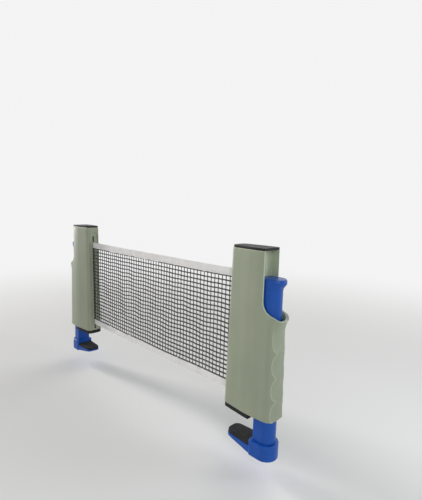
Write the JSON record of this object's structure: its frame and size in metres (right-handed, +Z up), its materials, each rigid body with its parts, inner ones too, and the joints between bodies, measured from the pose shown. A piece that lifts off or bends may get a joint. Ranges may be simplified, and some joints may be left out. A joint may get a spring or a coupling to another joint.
{
  "type": "table tennis net set",
  "caption": "Retractable table tennis net: two spring clamp posts with thumb plungers, joined by a mesh net with white bands that winds onto a reel in one post.",
  "frame": {"origin": "on the underside of the near post's base pad, the plane of the table top, on the net's line and the near case's middle", "axes": "+Z up, +X along the net from the far post to the near post, the net in the XZ plane"},
  "size_m": [0.4328, 0.0296, 0.2162],
  "materials": {
    "case_plastic": "satin moulded grey green",
    "blue_plastic": "smooth moulded blue",
    "black_plastic": "moulded black",
    "rubber_pad": "matt black rubber",
    "zinc_steel": "zinc plated",
    "spring_steel": "bright drawn wire",
    "reel_plastic": "black tube",
    "bush_plastic": "natural acetal",
    "net_cord": "woven black nylon thread",
    "band_tape": "white woven tape"
  },
  "bodies": {
    "near_post": {"near_case": "case_plastic", "near_top_cap": "black_plastic", "near_base_plate": "black_plastic", "near_base_pad": "rubber_pad", "near_base_screws": "zinc_steel", "near_spring_seat": "zinc_steel", "near_anchor_rod": "zinc_steel", "net_end_loop": "band_tape", "net_mesh": "net_cord", "net_top_band": "band_tape", "net_bottom_band": "band_tape"},
    "near_plunger": {"near_plunger_column": "blue_plastic", "near_thumb_cap": "blue_plastic", "near_jaw": "blue_plastic", "near_jaw_pad": "rubber_pad", "near_jaw_screws": "zinc_steel", "near_return_spring": "spring_steel"},
    "far_post": {"far_case": "case_plastic", "far_top_cap": "black_plastic", "far_base_plate": "black_plastic", "far_base_pad": "rubber_pad", "far_base_screws": "zinc_steel", "far_spring_seat": "zinc_steel", "far_reel_spindle": "zinc_steel"},
    "far_plunger": {"far_plunger_column": "blue_plastic", "far_thumb_cap": "blue_plastic", "far_jaw": "blue_plastic", "far_jaw_pad": "rubber_pad", "far_jaw_screws": "zinc_steel", "far_return_spring": "spring_steel"},
    "far_reel": {"far_reel_tube": "reel_plastic", "far_reel_lower_bush": "bush_plastic", "far_reel_upper_bush": "bush_plastic", "far_torsion_spring": "spring_steel", "far_net_roll": "net_cord"}
  },
  "joints": [
    {"name": "near_clamp", "type": "slide", "parent": "near_post", "child": "near_plunger", "axis": [0, 0, -1], "range_m": [-0.0264, 0.0223], "stiffness_N_per_m": 1000, "deforming": ["near_return_spring"]},
    {"name": "net_pull", "type": "slide", "parent": "near_post", "child": "far_post", "axis": [-1, 0, 0], "range_m": [-0.298, 1.4], "deforming": ["net_mesh", "net_top_band", "net_bottom_band"]},
    {"name": "far_clamp", "type": "slide", "parent": "far_post", "child": "far_plunger", "axis": [0, 0, -1], "range_m": [-0.0264, 0.0223], "stiffness_N_per_m": 1000, "deforming": ["far_return_spring"]},
    {"name": "far_reel_spin", "type": "hinge", "parent": "far_post", "child": "far_reel", "pos_m": [-0.36, 0, 0.09], "axis": [0, 0, 1], "range_deg": [-1761, 8265], "deforming": ["far_torsion_spring"]}
  ],
  "couplings": [
    {"joint": "far_reel_spin", "follows": "net_pull", "rad_per_m": 103}
  ]
}
